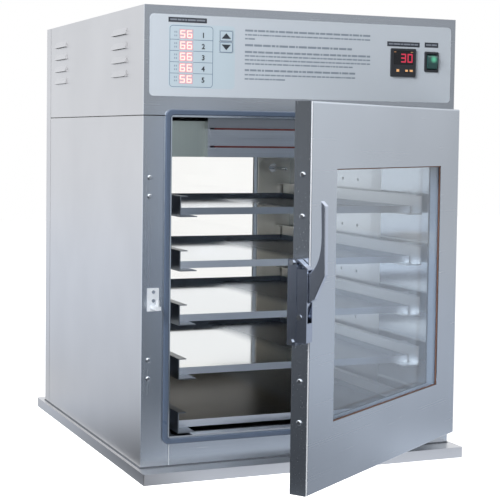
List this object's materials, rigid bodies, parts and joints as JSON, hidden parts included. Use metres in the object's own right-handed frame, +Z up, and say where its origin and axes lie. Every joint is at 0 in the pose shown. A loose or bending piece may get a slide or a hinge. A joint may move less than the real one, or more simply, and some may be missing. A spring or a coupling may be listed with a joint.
{
  "type": "dry heat sterilizer",
  "caption": "Bench dry heat sterilizer: insulated steel cabinet with a side-hinged glazed door, lever latch, shelves on rails, heater duct and a control panel above.",
  "frame": {"origin": "centre of the base tray's underside, on the bench", "axes": "+Z up, -Y towards the user at the door side, +X to the right seen from the front"},
  "size_m": [0.586, 0.9963, 0.76],
  "materials": {
    "panel_steel": "fine vertical brushing, satin",
    "front_steel": "fine brushing, satin",
    "chamber_steel": "bright rolled, near mirror",
    "duct_steel": "dull rolled",
    "element_sheath": "heat-tinted sheath",
    "bay_steel": "plain zinc-coated sheet",
    "fixing_steel": "polished",
    "latch_chrome": "polished plating",
    "gasket_rubber": "matt silicone",
    "seal_rubber": "matt silicone",
    "window_glass": "clear float glass",
    "panel_film": "satin polyester film",
    "key_film": "satin polyester film",
    "display_red": "lit numerals",
    "controller_black": "moulded, satin",
    "controller_window": "clear window over lit numerals",
    "controller_keys": "moulded, satin",
    "switch_green": "translucent, lit from behind",
    "mineral_wool": "fibre blanket",
    "board_green": "solder-masked board",
    "cast_aluminium": "cast, blasted",
    "gland_plastic": "moulded"
  },
  "bodies": {
    "cabinet": {"base_tray": "panel_steel", "left_side_panel": "panel_steel", "right_side_panel": "panel_steel", "back_panel": "panel_steel", "back_screws": "fixing_steel", "front_frame": "front_steel", "hood_cover": "panel_steel", "fascia": "front_steel", "membrane_panel": "panel_film", "timer_displays": "display_red", "controller_housing": "controller_black", "controller_window": "controller_window", "switch_housing": "controller_black", "bay_floor": "bay_steel", "fan_motor": "cast_aluminium", "control_board": "board_green", "power_supply": "cast_aluminium", "relay_heat_sink": "cast_aluminium", "cable_gland": "gland_plastic", "chamber_liner": "chamber_steel", "insulation": "mineral_wool", "door_gasket": "gasket_rubber", "right_rails": "chamber_steel", "left_rails": "chamber_steel", "shelf_1": "chamber_steel", "shelf_2": "chamber_steel", "shelf_3": "chamber_steel", "shelf_4": "chamber_steel", "shelf_5": "chamber_steel", "heater_duct": "duct_steel", "heating_elements": "element_sheath", "rear_window_panes": "window_glass", "rear_window_spacer": "chamber_steel", "temperature_probe": "chamber_steel", "hinge_leaf_frame_lower": "fixing_steel", "hinge_leaf_frame_upper": "fixing_steel", "hinge_pins": "fixing_steel", "frame_screws": "fixing_steel", "keeper": "fixing_steel"},
    "door": {"door_skin": "front_steel", "window_seal": "seal_rubber", "window_outer_glass": "window_glass", "window_spacer": "chamber_steel", "window_inner_glass": "window_glass", "door_insulation": "mineral_wool", "door_inner_pan": "front_steel", "hinge_leaf_door_lower": "fixing_steel", "hinge_leaf_door_upper": "fixing_steel", "door_screws": "fixing_steel", "latch_case": "latch_chrome", "latch_bolts": "fixing_steel", "lever_pin": "fixing_steel"},
    "latch_lever": {"latch_lever": "latch_chrome"},
    "fan_impeller": {"fan_impeller": "duct_steel"},
    "timer_up_key": {"timer_up_key": "key_film"},
    "timer_down_key": {"timer_down_key": "key_film"},
    "controller_key_1": {"controller_key_1": "controller_keys"},
    "controller_key_2": {"controller_key_2": "controller_keys"},
    "controller_key_3": {"controller_key_3": "controller_keys"},
    "switch_rocker": {"switch_rocker": "switch_green"}
  },
  "joints": [
    {"name": "door_hinge", "type": "hinge", "parent": "cabinet", "child": "door", "pos_m": [0.269, -0.306, 0.324], "axis": [0, 0, 1], "range_deg": [-35, 75]},
    {"name": "latch_pull", "type": "hinge", "parent": "door", "child": "latch_lever", "pos_m": [-0.15335, -0.62249, 0.301], "axis": [0.8192, 0.5736, 0], "range_deg": [0, 28], "stiffness_Nm_per_rad": 0.16, "springref_deg": -34.38},
    {"name": "fan_spin", "type": "hinge", "parent": "cabinet", "child": "fan_impeller", "pos_m": [0.02, -0.006, 0.583], "axis": [0, 0, 1], "continuous": true},
    {"name": "timer_up_press", "type": "slide", "parent": "cabinet", "child": "timer_up_key", "axis": [0, 1, 0], "range_m": [0, 0.0005], "stiffness_N_per_m": 600, "springref_m": -0.0004},
    {"name": "timer_down_press", "type": "slide", "parent": "cabinet", "child": "timer_down_key", "axis": [0, 1, 0], "range_m": [0, 0.0005], "stiffness_N_per_m": 600, "springref_m": -0.0004},
    {"name": "controller_press_1", "type": "slide", "parent": "cabinet", "child": "controller_key_1", "axis": [0, 1, 0], "range_m": [0, 0.0005], "stiffness_N_per_m": 600, "springref_m": -0.0004},
    {"name": "controller_press_2", "type": "slide", "parent": "cabinet", "child": "controller_key_2", "axis": [0, 1, 0], "range_m": [0, 0.0005], "stiffness_N_per_m": 600, "springref_m": -0.0004},
    {"name": "controller_press_3", "type": "slide", "parent": "cabinet", "child": "controller_key_3", "axis": [0, 1, 0], "range_m": [0, 0.0005], "stiffness_N_per_m": 600, "springref_m": -0.0004},
    {"name": "switch_rock", "type": "hinge", "parent": "cabinet", "child": "switch_rocker", "pos_m": [0.23725, -0.293, 0.6855], "axis": [1, 0, 0], "range_deg": [-20, 0]}
  ]
}
